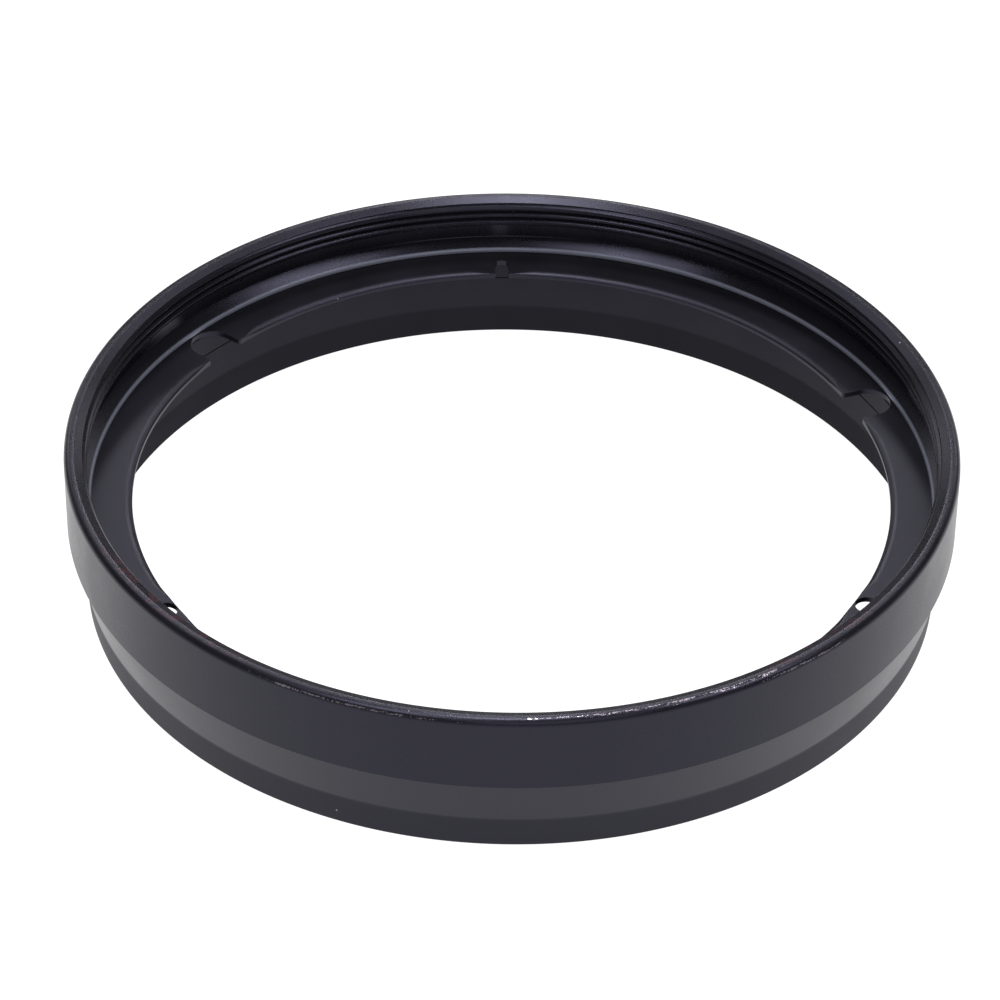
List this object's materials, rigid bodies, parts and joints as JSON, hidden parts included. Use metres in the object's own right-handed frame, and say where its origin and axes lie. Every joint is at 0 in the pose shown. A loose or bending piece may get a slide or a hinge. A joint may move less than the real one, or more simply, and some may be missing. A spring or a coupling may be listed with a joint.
{
  "type": "lens hood",
  "caption": "Short round black lens hood: front ring with female filter thread, thin notched bayonet plate held by a retaining ring, tapered slip-on rear collar.",
  "frame": {"origin": "on the optical axis, at the level of the collar's rear edge, which is the lowest face as the hood stands", "axes": "+Z along the optical axis towards the subject, out of the filter thread; +X and +Y across, with the plate's narrow notch 2 degrees past +Y"},
  "size_m": [0.0802, 0.0802, 0.0148],
  "materials": {
    "ring_finish": "satin black anodised, bright worn line on the rim edge",
    "plate_finish": "dull black anodised",
    "retainer_finish": "satin black anodised, finely turned",
    "collar_finish": "satin black anodised"
  },
  "bodies": {
    "root": {"front_ring": "ring_finish", "bayonet_plate": "plate_finish", "retaining_ring": "retainer_finish", "rear_collar": "collar_finish"}
  },
  "joints": []
}
